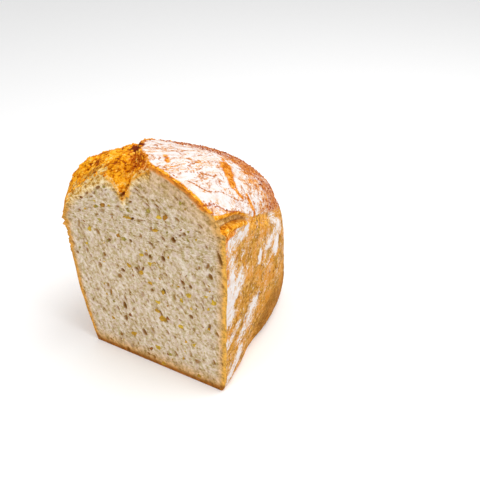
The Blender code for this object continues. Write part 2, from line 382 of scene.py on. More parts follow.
# Triangles of the flat cut face: the outline from the crust with an even lattice of points inside it
def cutLattice(outline, step):
    low = outline.min(axis=0)
    high = outline.max(axis=0)
    rows = np.arange(low[1], high[1], step * 0.866)
    random = np.random.default_rng(11)
    inner = []
    for number, row in enumerate(rows):
        xs = np.arange(low[0] + 0.5 * step * (number % 2), high[0], step)
        inner.append(np.stack([xs, np.full_like(xs, row)], axis=1))
    inner = np.concatenate(inner)
    inner = inner + random.uniform(-0.16, 0.16, inner.shape) * step
    inner = inner[outlineDistance(inner, outline) > 0.55 * step]
    count = len(outline)
    flat = [Vector(point) for point in outline] + [Vector(point) for point in inner]
    loop = list(range(count))
    result = geometry.delaunay_2d_cdt(flat, [], [loop], 1, 1e-6)
    places = np.array([[v.x, v.y] for v in result[0]])
    origins = [min(names) if names else -1 for names in result[3]]
    triangles = [list(face) for face in result[2]]
    return places, origins, triangles


# Marks on the cut face, each as across, up, length, width in millimetres, turn in degrees, strength or colour
crumbMarks = {
    "holes": [
        (-5.2, 98.3, 3.2, 1.1, 35, 1.0), (-0.2, 98.9, 5.6, 1.2, 8, 0.55), (-29.9, 83.1, 4.3, 2.6, -61, 0.6),
        (-7.8, 84.1, 1.9, 1.6, -29, 1.0), (-22.8, 79.7, 3.6, 1.6, 26, 0.75), (-0.7, 89.3, 1.8, 3.2, 18, 0.55),
        (12.4, 79.4, 3.8, 2.5, -79, 0.95), (-27.3, 69.1, 3.0, 2.1, -76, 0.7), (-47.5, 63.7, 2.5, 1.9, 19, 0.7),
        (-15.5, 62.3, 2.8, 2.4, -21, 0.9), (-18.5, 57.3, 3.0, 4.0, -45, 0.65), (-5.7, 66.7, 2.5, 1.7, -44, 0.85),
        (-1.6, 68.1, 3.8, 1.4, 61, 0.8), (1.5, 78.5, 3.1, 2.6, 19, 0.6), (3.9, 78.0, 2.6, 1.3, 68, 0.95),
        (3.3, 55.5, 2.0, 2.2, -28, 0.85), (-39.7, 67.5, 3.8, 1.6, -83, 0.6), (-37.4, 64.4, 3.1, 1.5, -76, 0.5),
        (-40.7, 93.4, 2.1, 2.0, -14, 0.7), (-42.6, 84.6, 6.5, 2.1, 75, 0.45), (-28.6, 94.1, 2.8, 1.1, 24, 0.6),
        (-18.5, 96.9, 1.8, 2.4, -60, 0.55), (6.3, 95.9, 3.6, 1.5, 75, 0.6), (5.4, 86.4, 3.4, 1.4, -29, 0.85),
        (13.4, 92.1, 3.5, 1.6, -51, 0.7), (-10.5, 110.8, 3.4, 1.0, 43, 0.9), (-24.4, 97.9, 5.0, 1.3, 16, 0.5),
        (-13.5, 103.2, 2.4, 1.7, -3, 0.55), (2.9, 113.2, 3.1, 0.9, 11, 0.6), (9.2, 113.2, 2.9, 0.9, 5, 0.5),
        (-28.1, 47.7, 3.0, 1.6, 73, 0.65), (-26.7, 43.1, 6.3, 1.6, 80, 0.55), (-36.7, 40.9, 2.2, 1.9, 21, 0.6),
        (-3.6, 50.0, 5.3, 2.6, 80, 0.5), (-17.4, 36.6, 6.2, 2.5, -83, 0.95), (-17.6, 27.3, 5.2, 2.0, -95, 0.85),
        (-5.2, 21.6, 5.8, 3.0, -70, 0.85), (1.2, 25.8, 6.7, 1.6, -64, 0.45), (3.4, 55.6, 1.9, 2.4, -13, 0.7),
        (39.4, 84.0, 4.4, 1.7, 71, 0.7), (40.7, 78.0, 4.2, 2.5, -73, 0.85), (23.8, 67.8, 3.3, 2.3, -66, 0.7),
        (24.3, 64.9, 2.0, 1.4, -59, 0.8), (28.3, 67.1, 2.7, 1.9, -78, 0.85), (27.7, 46.7, 3.3, 2.5, -52, 0.85),
        (39.1, 44.5, 4.5, 1.8, 80, 0.7), (30.2, 15.0, 4.0, 3.6, 26, 0.55), (-22.7, 12.3, 2.5, 2.5, -19, 0.65),
        (34.2, 81.2, 2.8, 1.4, 71, 0.6), (17.9, 56.0, 5.7, 1.4, -82, 0.5), (21.7, 51.2, 5.4, 1.4, -47, 0.45),
        (35.6, 60.2, 6.4, 1.3, -71, 0.5), (16.1, 27.1, 2.1, 1.9, 24, 0.6), (11.8, 22.5, 2.0, 1.9, 24, 0.5),
        (15.6, 15.3, 2.1, 1.6, -60, 0.6), (0.1, 4.6, 2.9, 2.6, -61, 0.6), (-3.8, 5.2, 2.9, 2.2, -61, 0.6),
        (38.4, 69.0, 3.3, 1.9, -65, 0.5), (-11.1, 36.8, 3.2, 1.6, 61, 0.55), (-26.6, 42.4, 5.7, 1.7, 77, 0.6),
        (19.6, 93.2, 3.4, 2.7, -65, 1.0), (22.8, 106.2, 3.9, 1.8, -32, 0.6), (26.5, 98.9, 2.0, 1.8, -58, 0.75),
        (23.7, 97.2, 1.6, 1.2, 18, 0.8), (26.3, 19.0, 1.8, 1.8, -60, 0.5), (21.7, 13.2, 1.7, 1.7, -60, 0.5),
        (35.5, 102.6, 2.4, 1.4, -43, 0.5), (38.9, 95.3, 2.6, 1.6, -70, 0.6), (31.5, 107.1, 2.1, 1.2, -36, 0.45),
        (16.0, 100.6, 2.5, 1.3, -58, 0.5), (-17.0, 75.3, 1.6, 1.5, -60, 0.5), (-32.3, 60.7, 3.2, 1.6, -83, 0.5),
        (31.6, 60.0, 3.0, 1.2, -78, 0.45), (13.6, 69.6, 2.9, 1.2, -73, 0.45), (-42.6, 46.4, 2.1, 1.6, -90, 0.45),
        (42.3, 56.3, 2.2, 1.1, 80, 0.4), (-35.8, 29.0, 4.5, 1.7, -89, 0.45), (-8.4, 114.2, 4.4, 1.5, 42, 1.0),
        (-10.6, 110.4, 3.0, 1.5, 40, 1.0), (-5.2, 108.2, 2.6, 1.0, 35, 0.75), (-25.4, 111.0, 4.6, 1.6, 38, 0.8),
        (-33.5, 105.6, 3.0, 1.4, 40, 0.7), (46.4, 90.4, 10.2, 1.8, -73, 0.9),
    ],
    "flecks": [
        (-35.2, 83.3, 4.1, 2.6, 71, "straw"), (-23.4, 101.4, 3.6, 2.7, 16, "brass"),
        (-27.8, 99.4, 3.3, 1.7, 16, "olive"), (-7.5, 98.4, 3.1, 2.5, 17, "amber"),
        (-15.6, 84.7, 3.0, 2.5, 18, "brass"), (-11.9, 83.9, 3.2, 2.5, 18, "olive"),
        (11.9, 104.2, 3.3, 2.5, 17, "straw"), (15.8, 105.5, 4.1, 3.1, 60, "brass"), (8.9, 95.7, 4.3, 1.7, 29, "amber"),
        (-10.8, 67.5, 2.5, 2.8, 19, "amber"), (-1.3, 77.4, 2.4, 2.4, 19, "straw"), (-3.0, 65.0, 3.5, 2.8, 20, "amber"),
        (3.6, 73.4, 3.5, 2.7, 19, "straw"), (2.8, 60.4, 2.8, 2.6, 0, "amber"), (-37.7, 102.0, 2.5, 1.4, 15, "toast"),
        (-7.2, 102.7, 3.0, 1.2, -44, "olive"), (5.7, 106.2, 2.3, 2.4, 16, "olive"), (9.1, 37.7, 4.9, 4.7, 23, "amber"),
        (12.1, 39.6, 2.3, 3.2, -13, "toast"), (-13.1, 17.3, 4.2, 3.5, 24, "amber"),
        (20.8, 37.1, 3.6, 3.4, 39, "straw"), (27.1, 61.0, 3.6, 2.9, 21, "straw"), (6.7, 48.8, 3.1, 2.9, 22, "straw"),
        (5.6, 42.3, 2.6, 3.8, 30, "amber"), (3.6, 13.8, 3.5, 3.6, 25, "straw"), (28.9, 27.2, 4.0, 2.2, 47, "straw"),
        (42.2, 62.2, 3.9, 3.7, 22, "straw"), (28.6, 52.8, 2.2, 2.8, 22, "straw"), (22.7, 55.9, 2.4, 3.3, 21, "straw"),
        (10.6, 56.5, 1.9, 3.1, 33, "amber"), (37.8, 64.4, 2.2, 1.9, 21, "straw"), (12.2, 11.9, 2.5, 2.3, 25, "olive"),
        (31.2, 4.4, 2.5, 2.4, 4, "amber"), (25.8, 116.3, 1.6, 1.8, -29, "olive"),
        (27.8, 113.4, 1.5, 1.7, -29, "amber"), (-13.9, 31.1, 2.9, 2.5, -28, "toast"),
        (-27.4, 23.5, 2.2, 3.3, 23, "amber"), (-25.2, 36.9, 2.0, 2.1, 22, "olive"),
        (-19.1, 102.6, 1.8, 1.4, 16, "straw"), (-27.4, 91.4, 2.2, 2.0, 17, "olive"),
        (28.9, 101.1, 1.7, 1.3, 17, "olive"), (39.0, 42.5, 1.8, 1.9, 23, "amber"), (23.5, 69.0, 2.0, 2.5, 29, "toast"),
        (-1.6, 10.6, 3.3, 2.8, 25, "toast"), (6.9, 2.5, 2.4, 2.5, 26, "amber"), (38.7, 56.5, 2.2, 2.0, 22, "straw"),
        (33.3, 97.9, 1.6, 1.3, 18, "straw"), (-38.8, 72.7, 2.1, 2.1, 18, "straw"),
        (-7.8, 106.1, 1.7, 1.6, -15, "straw"), (-20.8, 112.7, 2.6, 1.4, 36, "olive"),
    ],
    "finePoreSize": 3.0,          # spacing of the fine pores between the named holes
}


# Lines on the crust, each as a width and the places it runs through, all in millimetres
crustMarks = {
    "tornBorder": [            # across and up: above this line the cut face is torn and baked, not sawn
        (-53.1, 94.2), (-48.9, 97.9), (-43.6, 102.6), (-37.1, 107.4), (-31.1, 112.0), (-25.3, 116.2), (-20.4, 118.4),
        (-16.2, 117.9), (-13.4, 115.2), (-11.5, 111.2), (-9.9, 108.7), (-7.0, 112.4), (-4.5, 117.6), (-2.7, 121.5),
        (0.0, 124.2), (4.5, 127.6), (8.8, 129.6), (9.6, 140.0),
    ],
    "cracks": [
        [(21.2, 7.4, 127.8), (22.8, 11.7, 127.0), (26.1, 15.7, 125.3), (30.1, 19.5, 122.9), (31.2, 23.5, 121.6),
         (31.5, 30.8, 119.7)],
        [(26.4, 6.0, 125.5), (30.3, 7.5, 123.3), (35.2, 10.9, 119.6), (37.3, 15.9, 118.0)],
        [(37.7, 16.9, 117.6), (42.7, 22.1, 112.0), (45.0, 32.0, 105.2)],
        [(20.6, 17.4, 127.8), (21.2, 24.4, 126.7)],
        [(1.8, 23.3, 130.3), (6.9, 25.1, 129.6), (10.7, 24.3, 129.4), (10.8, 30.4, 127.7)],
        [(12.0, 2.0, 130.8), (16.5, 3.2, 129.4), (22.0, 3.4, 127.6)],
        [(3.0, 30.0, 129.5), (12.0, 36.0, 126.0), (18.0, 46.0, 121.5)],
    ],
    "bare": [
        (1.1, [(22.9, 43.6, 120.4), (25.4, 41.0, 120.2), (27.4, 39.0, 119.9)]),
        (4.6, [(28.8, 37.6, 119.7), (32.0, 34.0, 118.5)]),
        (2.9, [(32.0, 34.0, 118.5), (37.8, 28.7, 115.0)]),
        (1.5, [(37.8, 28.7, 115.0), (41.0, 28.0, 112.2), (43.0, 28.6, 109.5)]),
        (1.6, [(43.0, 33.9, 108.1), (45.5, 33.7, 103.5), (46.8, 35.2, 97.2)]),
        (1.5, [(9.0, 13.5, 130.9), (12.4, 9.5, 130.8)]),
    ],
    "thickFlour": [(24.0, 2.5, 127.0), (35.3, 4.0, 120.5), (41.0, 14.0, 115.0)],
    "edgeBare": [(49.3, 1.0, 104.0), (50.0, 1.0, 92.0), (50.2, 1.2, 76.0)],
    "ridgeCream": [(-37.0, 0.0, 109.4), (-30.1, 0.0, 114.9), (-24.4, 0.0, 119.2), (-20.8, 0.0, 121.7)],
    "char": [(-13.0, 18.5, 128.6), (-9.6, 16.2, 130.6)],
    "pits": [(45.7, 57.2, 75.4), (49.2, 21.4, 39.4), (44.2, 49.0, 11.3), (48.1, 52.7, 49.7), (48.5, 38.2, 43.4)],
    "flour": [
        (3.2, 0.72, [(49.8, 4.6, 96.4), (49.7, 9.4, 97.7), (49.4, 16.0, 97.3)]),
        (2.4, 0.66, [(49.4, 16.0, 97.3), (48.7, 24.5, 97.0)]),
        (2.2, 0.66, [(49.7, 6.2, 87.4), (50.2, 3.0, 84.1), (50.2, 4.4, 77.0)]),
        (3.4, 1.05, [(50.3, 3.6, 76.0), (50.2, 3.4, 69.0)]),
        (3.0, 1.25, [(50.2, 2.6, 69.0), (49.7, 2.2, 58.0), (49.8, 2.8, 53.0)]),
        (3.2, 0.82, [(50.2, 7.0, 64.3), (49.9, 12.0, 68.3), (49.6, 15.5, 71.0)]),
        (2.6, 0.74, [(48.9, 19.3, 31.0), (48.8, 25.2, 36.8), (48.5, 32.9, 41.5)]),
        (2.2, 0.62, [(48.8, 16.0, 27.0), (48.9, 20.0, 31.6)]),
        (2.0, 0.62, [(49.4, 2.4, 34.5), (49.4, 7.1, 37.9), (49.2, 12.9, 40.0)]),
        (3.0, 0.66, [(47.8, 4.0, 6.0), (48.8, 9.3, 13.5), (48.1, 16.6, 18.8)]),
        (1.3, 1.15, [(47.7, 40.0, 65.2), (47.7, 41.8, 69.4)]),
        (2.6, 0.66, [(46.9, 49.5, 68.6), (45.9, 59.0, 70.2), (44.5, 67.1, 70.6)]),
        (2.2, 1.2, [(46.2, 63.0, 60.5), (46.0, 65.5, 64.5)]),
        (2.4, 0.66, [(45.0, 60.0, 84.0), (43.6, 68.0, 76.0), (42.0, 76.0, 66.0)]),
    ],
}


# Millimetres above the border of the torn lip
def aboveBorder(x, z):
    places = np.array(crustMarks["tornBorder"])
    return z - np.interp(x, places[:, 0], places[:, 1])


# How deep each place on the cut face lies inside a named hole, 0 to 1
def holeShare(x, z):
    share = np.zeros_like(x)
    for holeX, holeZ, length, width, turn, strength in crumbMarks["holes"]:
        cosine = math.cos(math.radians(turn))
        sine = math.sin(math.radians(turn))
        along = ((x - holeX) * cosine + (z - holeZ) * sine) / (0.5 * length + 0.25)
        across = ((z - holeZ) * cosine - (x - holeX) * sine) / (0.5 * width + 0.25)
        reach = np.sqrt(along ** 2 + across ** 2)
        share = np.maximum(share, strength * fade(reach, 0.45, 1.15))
    return share


# Colour of a hex text, turned from sRGB to linear
def linearColour(text):
    values = [int(text[at:at + 2], 16) / 255.0 for at in (1, 3, 5)]
    linear = [v / 12.92 if v <= 0.04045 else ((v + 0.055) / 1.055) ** 2.4 for v in values]
    return (linear[0], linear[1], linear[2], 1.0)


# Scale of a noise whose lumps are about this many millimetres wide
def perSize(millimetres):
    return 1000.0 / millimetres


# Adds one node; settings go on the node, inputs take plain values, nodes or sockets, stops fill a colour ramp
def addNode(tree, kind, settings=None, inputs=None, stops=None):
    node = tree.nodes.new(kind)
    for name, value in (settings or {}).items():
        setattr(node, name, value)
    for key, value in (inputs or {}).items():
        if isinstance(value, bpy.types.Node):
            value = value.outputs[0]
        if isinstance(value, bpy.types.NodeSocket):
            tree.links.new(value, node.inputs[key])
        else:
            node.inputs[key].default_value = value
    if stops:
        elements = node.color_ramp.elements
        elements[0].position = stops[0][0]
        elements[0].color = linearColour(stops[0][1])
        elements[1].position = stops[-1][0]
        elements[1].color = linearColour(stops[-1][1])
        for position, colour in stops[1:-1]:
            elements.new(position).color = linearColour(colour)
    return node


# Short forms of the nodes that the trees use most
def mathNode(tree, operation, *values):
    return addNode(tree, "ShaderNodeMath", {"operation": operation}, dict(enumerate(values))).outputs[0]


def scaledNode(tree, vector, amount):
    return addNode(tree, "ShaderNodeVectorMath", {"operation": "SCALE"}, {0: vector, "Scale": amount}).outputs[0]


def mixNode(tree, share, first, second):
    return addNode(tree, "ShaderNodeMix", {}, {"Factor": share, 2: first, 3: second}).outputs[0]


def noiseNode(tree, place, size, detail=2.0, roughness=0.5, distortion=0.0):
    return addNode(tree, "ShaderNodeTexNoise", {}, {
        "Vector": place, "Scale": perSize(size), "Detail": detail, "Roughness": roughness, "Distortion": distortion})


def rangeNode(tree, value, low, high, least=0.0, most=1.0):
    return addNode(tree, "ShaderNodeMapRange", {}, {
        "Value": value, "From Min": low, "From Max": high, "To Min": least, "To Max": most}).outputs[0]


def rampNode(tree, value, stops):
    return addNode(tree, "ShaderNodeValToRGB", {}, {"Fac": value}, stops).outputs[0]


# Share of a finish: its mark, roughened by a noise, between the value where it begins and where it is full
def raggedShare(tree, mark, grain, amount, low, high, most=1.0):
    return rangeNode(tree, mathNode(tree, "MULTIPLY_ADD", grain, amount, mark), low, high, 0.0, most)


# A mark of the mesh as a shader reads it, and as Geometry Nodes read it
def shaderMark(tree, name, kind="Fac"):
    return addNode(tree, "ShaderNodeAttribute", {"attribute_name": name}).outputs[kind]


def meshMark(tree, name, kind="FLOAT"):
    return addNode(tree, "GeometryNodeInputNamedAttribute", {"data_type": kind}, {"Name": name}).outputs[0]


def newMaterial(name, roughness, gloss):
    material = bpy.data.materials.new(name)
    material.use_nodes = True
    shader = material.node_tree.nodes["Principled BSDF"]
    shader.inputs["Roughness"].default_value = roughness
    shader.inputs["Specular IOR Level"].default_value = gloss
    return material, material.node_tree, shader


def linkSurface(tree, shader, colour, height, strength, depth):
    tree.links.new(colour, shader.inputs["Base Color"])
    bump = addNode(tree, "ShaderNodeBump", {}, {"Strength": strength, "Distance": depth, "Height": height})
    tree.links.new(bump.outputs[0], shader.inputs["Normal"])


# Lays one colour after another over the first, each where its mask says
def layerColours(tree, base, layers):
    for mask, colour in layers:
        over = colour if not isinstance(colour, str) else linearColour(colour)
        base = addNode(tree, "ShaderNodeMix", {"data_type": "RGBA"}, {"Factor": mask, 6: base, 7: over}).outputs[2]
    return base


crumbColours = {
    # foam ramp: the crumb's own mottled tone, with painted shade at the low centres of the foam cells
    "foam": [(0.27, "#7c5a28"), (0.36, "#9c7f4e"), (0.44, "#b59c72"), (0.51, "#c4af8e"), (0.58, "#cfbda3"),
             (0.70, "#e2d4c2")],
    "pinkGrey": "#cdb5a8",
    "olive": "#ab9b66",
    # painted shade in the fine pores and in the deep holes
    "finePoreShade": "#8e5e18",
    "deepPoreShade": "#5c3206",
    "tint": "#c29048",
    "spill": [(0.34, "#8c5a10"), (0.43, "#b98630"), (0.50, "#d2a658"), (0.58, "#e4c48a"), (0.70, "#f4e0b8")],
    "spillGold": "#e89c20",
}


crumbPatterns = {"foam": 1.9, "blotch": 6.0, "speck": 2.6}    # sizes in millimetres


# Finish of the cut crumb: sawn bread, a matt grey-beige foam with painted shade down in its pores and in the pits of
# the foam
def crumbFinish():
    material, tree, shader = newMaterial("cut crumb", 0.92, 0.05)
    place = addNode(tree, "ShaderNodeTexCoord").outputs["Object"]
    marks = {name: shaderMark(tree, name) for name in ("pore", "tint", "band", "spill", "spillGold")}
    fine = noiseNode(tree, place, crumbPatterns["foam"], 3.0, 0.8)
    cells = addNode(tree, "ShaderNodeTexVoronoi", {"feature": "SMOOTH_F1"}, {
        "Vector": shaderMark(tree, "grain", "Vector"), "Scale": perSize(crumbPatterns["foam"]), "Smoothness": 0.35})
    blotch = noiseNode(tree, place, crumbPatterns["blotch"])
    speck = noiseNode(tree, place, crumbPatterns["speck"], 1.0)
    # foam is lowest at the cell centres: the bump sinks there and the ramp paints shade there
    foam = mathNode(tree, "MULTIPLY_ADD", cells, 0.3, fine)
    foam = mathNode(tree, "MULTIPLY_ADD", blotch, 0.3, foam)
    foam = mathNode(tree, "SUBTRACT", foam, 0.27)
    tintShade = scaledNode(tree, linearColour(crumbColours["tint"])[:3], rangeNode(tree, foam, 0.36, 0.66, 0.55, 1.4))
    bandShade = scaledNode(tree, shaderMark(tree, "bandColour", "Color"), rangeNode(tree, foam, 0.36, 0.66, 0.7, 1.3))
    colour = layerColours(tree, rampNode(tree, foam, crumbColours["foam"]), [
        (rangeNode(tree, speck, 0.50, 0.66, 0.0, 0.55), crumbColours["pinkGrey"]),
        (rangeNode(tree, speck, 0.44, 0.32, 0.0, 0.55), crumbColours["olive"]),
        (marks["tint"], tintShade),
        (raggedShare(tree, marks["spill"], fine, 1.5, 1.0, 1.5), rampNode(tree, foam, crumbColours["spill"])),
        (raggedShare(tree, marks["spillGold"], fine, 1.5, 1.15, 1.5, 0.85), crumbColours["spillGold"]),
        # painted shade in the fine pores, and below, deeper painted shade in the named holes
        (rangeNode(tree, marks["pore"], 0.15, 0.6, 0.0, 0.85), crumbColours["finePoreShade"]),
        (raggedShare(tree, marks["band"], fine, 0.9, 0.70, 1.35, 0.92), bandShade),
        (rangeNode(tree, marks["pore"], 0.62, 1.0, 0.0, 0.9), crumbColours["deepPoreShade"]),
    ])
    linkSurface(tree, shader, colour, foam, 0.7, 0.0006)
    return material


crustColours = {
    "wall": [(0.38, "#6c3800"), (0.44, "#a4640c"), (0.50, "#ca8c30"), (0.55, "#d9a34a"), (0.62, "#ecc688")],
    "wallOrange": "#d8861c",
    "wallOlive": "#c09638",
    # the torn ramps run from painted crevice shade through the golden crust's own tones to painted highlights
    "torn": [(0.35, "#7c2c00"), (0.41, "#b05600"), (0.46, "#d88200"), (0.51, "#ee9c0c"), (0.56, "#f8ac18"),
             (0.64, "#fec040"), (0.76, "#ffd67c")],
    "tornRed": [(0.36, "#6c1c00"), (0.43, "#a44200"), (0.50, "#cf6a08"), (0.57, "#ea9028"), (0.67, "#fac880")],
    "tan": [(0.34, "#744000"), (0.43, "#a46e14"), (0.50, "#cc963a"), (0.57, "#e0b058"), (0.68, "#f6dc9c")],
    "lipCream": [(0.36, "#a06c14"), (0.44, "#ca9840"), (0.52, "#e0ba6c"), (0.60, "#eed298"), (0.70, "#f8e6c0")],
    "underFlour": [(0.38, "#9c4408"), (0.48, "#cc7018"), (0.56, "#e6983e"), (0.66, "#f4c48c")],
    "flour": [(0.30, "#d4a47c"), (0.41, "#e8d4c6"), (0.54, "#eae4e2")],
    "dust": "#e8cbaa",
    "gold": [(0.36, "#8a4004"), (0.44, "#c87008"), (0.51, "#ee9c18"), (0.58, "#fcb83c"), (0.68, "#ffdc90")],
    "rust": "#b05418",
    "crack": "#b86812",
    "bare": [(0.38, "#a04a06"), (0.47, "#d07410"), (0.55, "#ea962c"), (0.66, "#fac07c")],
    # char: burnt spots, and also painted shade under the side tear, in pits and in pores
    "char": "#742a08",
    "inner": [(0.34, "#986420"), (0.45, "#c89446"), (0.55, "#e2b874"), (0.68, "#f0d6a8")],
    # low: painted shade low on the far end of the wall
    "low": [(0.42, "#70400a"), (0.50, "#8c5210"), (0.56, "#aa6e20"), (0.64, "#d6a050")],
    # crease: painted shade in the creases of the torn top
    "crease": "#a05004",
}


# Where flour begins and where it is full, and how much it covers at most
flourLayers = {"thin": (2.14, 2.34, 0.0, 0.55), "thick": (2.46, 2.60, 0.0, 1.0)}
crustPatterns = {    # sizes in millimetres
    "broad": 9.0, "middle": 2.3, "fine": 1.1, "drawn": 2.2, "streak": 2.4, "strand": 4.6, "patch": 6.0,
}


# Finish of the crust: baked tan wall and golden torn top, matt flour lying on both with thin cracks through it
def crustFinish():
    material, tree, shader = newMaterial("baked crust dusted with flour", 0.78, 0.08)
    place = addNode(tree, "ShaderNodeTexCoord").outputs["Object"]
    flow = shaderMark(tree, "flow", "Vector")
    sizes = crustPatterns
    marks = {name: shaderMark(tree, name) for name in (
        "torn", "tornRed", "tan", "lipCream", "flour", "crack", "bare", "rust", "char", "gold", "inner", "low", "slab",
        "line", "pore")}
    broad = noiseNode(tree, place, sizes["broad"], 3.0, 0.6)
    middle = noiseNode(tree, place, sizes["middle"], 4.0, 0.85)
    fine = noiseNode(tree, place, sizes["fine"])
    drawn = noiseNode(tree, flow, sizes["drawn"], 4.0, 0.8)
    streak = noiseNode(tree, flow, sizes["streak"], 4.0, 0.8)
    strand = noiseNode(tree, flow, sizes["strand"], 3.0, distortion=0.8)
    # fluff drives the torn ramps: the golden crust's own tone with painted crevice shade and painted highlights
    fluffShadeAndHighlight = mathNode(tree, "MULTIPLY_ADD", mixNode(tree, 0.35, streak, middle), 1.5, -0.55)
    fluffShadeAndHighlight = mathNode(tree, "MULTIPLY_ADD", broad, 0.6, fluffShadeAndHighlight)
    tones = {"wall": mixNode(tree, 0.3, middle, broad), "flour": drawn}
    tones.update(dict.fromkeys(("torn", "tornRed", "tan", "lipCream"), fluffShadeAndHighlight))
    tones.update(dict.fromkeys(("low", "inner", "gold", "bare", "underFlour"), middle))
    ramps = {name: rampNode(tree, tone, crustColours[name]) for name, tone in tones.items()}
    speckled = {name: raggedShare(tree, marks[name], middle, 1.6, 1.10, 1.45) for name in (
        "tan", "tornRed", "lipCream", "bare", "gold", "char", "low")}

    # flour lies thick or thin by its mark and gives way to specks and lines of bare crust
    patchy = mathNode(tree, "MULTIPLY_ADD", noiseNode(tree, flow, sizes["patch"]), 1.7, -0.85)
    loose = mathNode(tree, "ADD", patchy, marks["flour"])
    for layer, amount in ((marks["torn"], -0.9), (drawn, 2.3), (fine, 1.7)):
        loose = mathNode(tree, "MULTIPLY_ADD", layer, amount, loose)
    level = mathNode(tree, "ABSOLUTE", mathNode(tree, "SUBTRACT", strand, 0.5))
    level = mathNode(tree, "MULTIPLY_ADD", middle, 0.12, level)
    strands = rangeNode(tree, level, 0.085, 0.060)
    # painted shade in thin creases on the torn top
    creaseShade = mathNode(tree, "MULTIPLY", mathNode(tree, "MULTIPLY", strands, marks["torn"]), 0.6)
    colour = layerColours(tree, ramps["wall"], [
        (rangeNode(tree, broad, 0.51, 0.60, 0.0, 0.6), crustColours["wallOrange"]),
        (rangeNode(tree, broad, 0.46, 0.38, 0.0, 0.36), crustColours["wallOlive"]),
        # painted shade low on the far end of the wall
        (speckled["low"], ramps["low"]),
        (marks["slab"], ramps["underFlour"]),
        (marks["torn"], ramps["torn"]),
        (speckled["tornRed"], ramps["tornRed"]),
        (speckled["tan"], ramps["tan"]),
        (speckled["lipCream"], ramps["lipCream"]),
        (creaseShade, crustColours["crease"]),
        (rangeNode(tree, loose, *flourLayers["thin"]), crustColours["dust"]),
        (rangeNode(tree, loose, *flourLayers["thick"]), ramps["flour"]),
        (mathNode(tree, "MULTIPLY", strands, marks["slab"]), crustColours["crack"]),
        (raggedShare(tree, marks["crack"], fine, 1.6, 1.35, 1.05), crustColours["crack"]),
        (speckled["bare"], ramps["bare"]),
        (speckled["gold"], ramps["gold"]),
        (marks["inner"], ramps["inner"]),
        # painted shadow under the side tear and painted shade in pits, in the char colour
        (marks["line"], crustColours["char"]),
        # painted shade in the pores where the torn lip of the cut takes the crust finish
        (marks["pore"], crustColours["char"]),
        (raggedShare(tree, marks["rust"], fine, 1.5, 1.12, 1.4, 0.9), crustColours["rust"]),
        (speckled["char"], crustColours["char"]),
    ])
    linkSurface(tree, shader, colour, middle, 0.9, 0.0008)
    return material


reliefSizes = {
    "Torn lumps": 0.0004,         # heights and depths in metres
    "Torn grain": 0.0006,
    "Wall dimples": 0.0003,
    "Hole depth": 0.0011,
}


# Geometry Nodes tree with named inputs, whole numbers or not as their values are
def newTree(name, values):
    tree = bpy.data.node_groups.new(name, "GeometryNodeTree")
    tree.interface.new_socket(name="Geometry", in_out="INPUT", socket_type="NodeSocketGeometry")
    for title, value in values.items():
        kind = "NodeSocketInt" if isinstance(value, int) else "NodeSocketFloat"
        tree.interface.new_socket(name=title, in_out="INPUT", socket_type=kind).default_value = value
    tree.interface.new_socket(name="Geometry", in_out="OUTPUT", socket_type="NodeSocketGeometry")
    return tree, addNode(tree, "NodeGroupInput").outputs


# Fine relief of the whole skin: crags on the torn top, dimples on the walls, pores in the cut face
def reliefTree(crust, crumb):
    tree, start = newTree("crust and crumb relief", reliefSizes)
    place = addNode(tree, "GeometryNodeInputPosition")
    marks = {name: meshMark(tree, name) for name in ("torn", "hold", "hole", "crumb")}
    grain = meshMark(tree, "grain", "FLOAT_VECTOR")
    flow = meshMark(tree, "flow", "FLOAT_VECTOR")

    # crust: centred noises, each with its size in millimetres, times its height
    total = 0.0
    for height, size, way, share in (
            ("Torn lumps", 5.0, place, marks["torn"]), ("Torn grain", 2.4, flow, marks["torn"]),
            ("Wall dimples", 3.4, place, 1.0)):
        centred = mathNode(tree, "MULTIPLY_ADD", noiseNode(tree, way, size), 4.0, -2.0)
        scaled = mathNode(tree, "MULTIPLY", centred, start[height])
        total = mathNode(tree, "ADD", total, mathNode(tree, "MULTIPLY", scaled, share))
    total = mathNode(tree, "MULTIPLY", total, marks["hold"])
    total = mathNode(tree, "MULTIPLY", total, mathNode(tree, "SUBTRACT", 1.0, marks["crumb"]))
    offset = scaledNode(tree, addNode(tree, "GeometryNodeInputNormal"), total)
    rough = addNode(tree, "GeometryNodeSetPosition", {}, {"Geometry": start["Geometry"], "Offset": offset})

    # cut face: fine pores between the named holes, both sunk straight into the loaf
    cells = addNode(tree, "ShaderNodeTexVoronoi", {}, {"Vector": grain, "Scale": perSize(crumbMarks["finePoreSize"])})
    luck = addNode(tree, "FunctionNodeSeparateColor", {}, {"Color": cells.outputs["Color"]})
    near = mathNode(tree, "DIVIDE", cells.outputs["Distance"], rangeNode(tree, luck, 0.35, 1.0, 0.02, 0.36))
    fine = mathNode(tree, "MULTIPLY", rangeNode(tree, near, 1.15, 0.55, 0.0, 0.62), marks["crumb"])
    inside = mathNode(tree, "MAXIMUM", fine, marks["hole"])
    # the stored pore share lets the finishes paint shade in the pores
    stored = addNode(tree, "GeometryNodeStoreNamedAttribute", {"data_type": "FLOAT", "domain": "POINT"},
                     {"Geometry": rough, "Name": "pore", "Value": inside})
    sunk = mathNode(tree, "MULTIPLY", mathNode(tree, "MULTIPLY", inside, start["Hole depth"]), marks["hold"])
    inward = addNode(tree, "ShaderNodeCombineXYZ", {}, {"Y": sunk})
    porous = addNode(tree, "GeometryNodeSetPosition", {}, {"Geometry": stored, "Offset": inward})
    plain = addNode(tree, "GeometryNodeRealizeInstances", {}, {"Geometry": porous})
    finish = addNode(tree, "GeometryNodeSetMaterial", {}, {"Geometry": plain, "Material": crust})
    finish = addNode(tree, "GeometryNodeSetMaterial", {}, {
        "Geometry": finish, "Selection": meshMark(tree, "cutFace", "BOOLEAN"), "Material": crumb})
    addNode(tree, "NodeGroupOutput", {}, {"Geometry": finish})
    return tree


